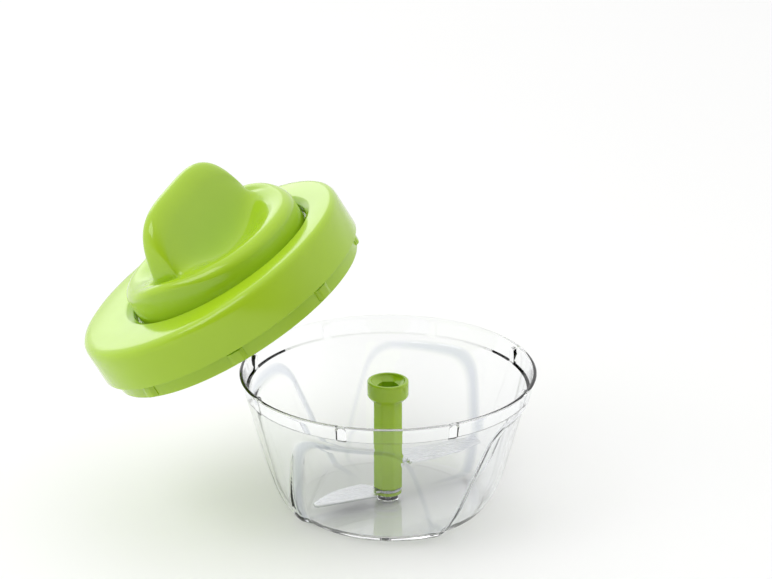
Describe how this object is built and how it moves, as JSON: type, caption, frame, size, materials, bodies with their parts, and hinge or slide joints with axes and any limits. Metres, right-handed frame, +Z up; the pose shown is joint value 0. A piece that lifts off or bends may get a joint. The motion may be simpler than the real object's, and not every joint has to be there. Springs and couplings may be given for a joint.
{
  "type": "herb chopper",
  "caption": "Hand-turned herb chopper: clear bowl, blade unit on a floor pin, and a geared lid with a wing knob held tilted above the bowl.",
  "frame": {"origin": "centre of the bowl's underside, on the face it stands on", "axes": "+Z up; -Y is the front; +X is to the right, away from the side the lid is held on"},
  "size_m": [0.2279, 0.15, 0.1767],
  "materials": {
    "green_plastic": "polished lime green moulding",
    "clear_plastic": "crystal clear moulding",
    "steel": "stainless, fine ground",
    "nylon": "natural white, satin"
  },
  "bodies": {
    "bowl": {"bowl": "clear_plastic", "pivot_pin": "steel"},
    "blade_unit": {"blade_shaft": "green_plastic", "blade_upper": "steel", "blade_lower": "steel", "shaft_foot": "green_plastic", "shaft_bush": "nylon"},
    "hold_down": {"hold_down_ring": "nylon"},
    "lid": {"lid_cover": "green_plastic", "lid_underplate": "green_plastic", "hub_bush": "nylon", "idler_pin": "steel", "hold_spring": "steel", "lid_screw_1": "steel", "lid_screw_2": "steel", "lid_screw_3": "steel", "lid_screw_4": "steel"},
    "knob": {"knob_shell": "green_plastic", "knob_ring_gear": "nylon", "knob_screw_1": "steel", "knob_screw_2": "steel", "knob_screw_3": "steel"},
    "idler": {"idler_gear": "nylon"},
    "coupler": {"coupler": "nylon", "coupler_clip": "steel"}
  },
  "joints": [
    {"name": "blade_spin", "type": "hinge", "parent": "bowl", "child": "blade_unit", "pos_m": [0, 0, 0], "axis": [0, 0, 1], "continuous": true},
    {"name": "lid_swing", "type": "hinge", "parent": "bowl", "child": "hold_down", "pos_m": [-0.09045, 0, -0.04828], "axis": [0, 1, 0], "range_deg": [0, 30.5]},
    {"name": "lid_seat", "type": "slide", "parent": "hold_down", "child": "lid", "axis": [-0.5075, 0, 0.8616], "range_m": [-0.01, 0], "deforming": ["hold_spring"]},
    {"name": "knob_turn", "type": "hinge", "parent": "lid", "child": "knob", "pos_m": [-0.07413, 0, 0.11405], "axis": [-0.5075, 0, 0.8616], "continuous": true},
    {"name": "idler_spin", "type": "hinge", "parent": "lid", "child": "idler", "pos_m": [-0.07672, 0.01851, 0.11252], "axis": [-0.5075, 0, 0.8616], "continuous": true},
    {"name": "coupler_spin", "type": "hinge", "parent": "lid", "child": "coupler", "pos_m": [-0.0793, 0, 0.111], "axis": [-0.5075, 0, 0.8616], "continuous": true}
  ],
  "couplings": [
    {"joint": "idler_spin", "follows": "knob_turn", "ratio": 2.6667},
    {"joint": "coupler_spin", "follows": "knob_turn", "ratio": -4},
    {"joint": "blade_spin", "follows": "knob_turn", "ratio": -4}
  ]
}
